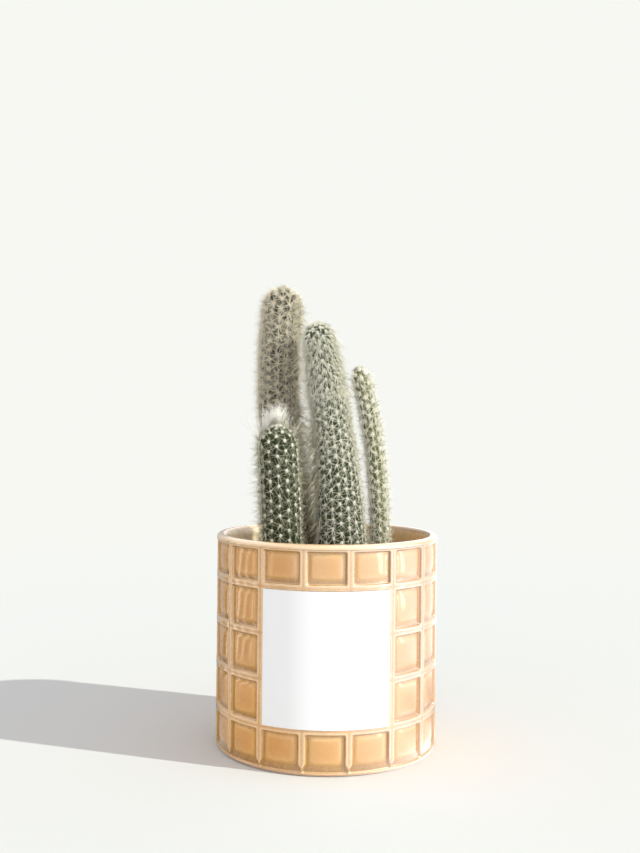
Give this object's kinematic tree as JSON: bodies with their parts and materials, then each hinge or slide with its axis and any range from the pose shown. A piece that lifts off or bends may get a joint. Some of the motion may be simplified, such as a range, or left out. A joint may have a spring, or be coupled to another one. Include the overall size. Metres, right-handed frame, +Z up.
{
  "type": "potted columnar cactus",
  "caption": "Columnar cactus with ribbed spiny stems of different heights in a straight round glazed ceramic pot, with a relief of square tiles and a blank paper label.",
  "frame": {"origin": "on the surface the pot stands on, under the middle of the pot", "axes": "+Z up along the pot's axis, -Y towards the label, +X to the right as seen from the label's side"},
  "size_m": [0.1406, 0.1406, 0.2965],
  "materials": {
    "pot": "glossy honey-coloured glaze, paler on the ribs",
    "label": "matte white",
    "soil": "crumbly potting mix",
    "stem_tall_back": "olive-green skin under beige spines",
    "stem_tall_middle": "green skin under pale spines",
    "stem_short_front": "dark green skin with white areoles",
    "stem_slim_right": "yellow-green skin with white areoles"
  },
  "bodies": {
    "root": {"pot": "pot", "label": "label", "soil": "soil", "stem_tall_back": "stem_tall_back", "stem_tall_middle": "stem_tall_middle", "stem_short_front": "stem_short_front", "stem_slim_right": "stem_slim_right"}
  },
  "joints": []
}
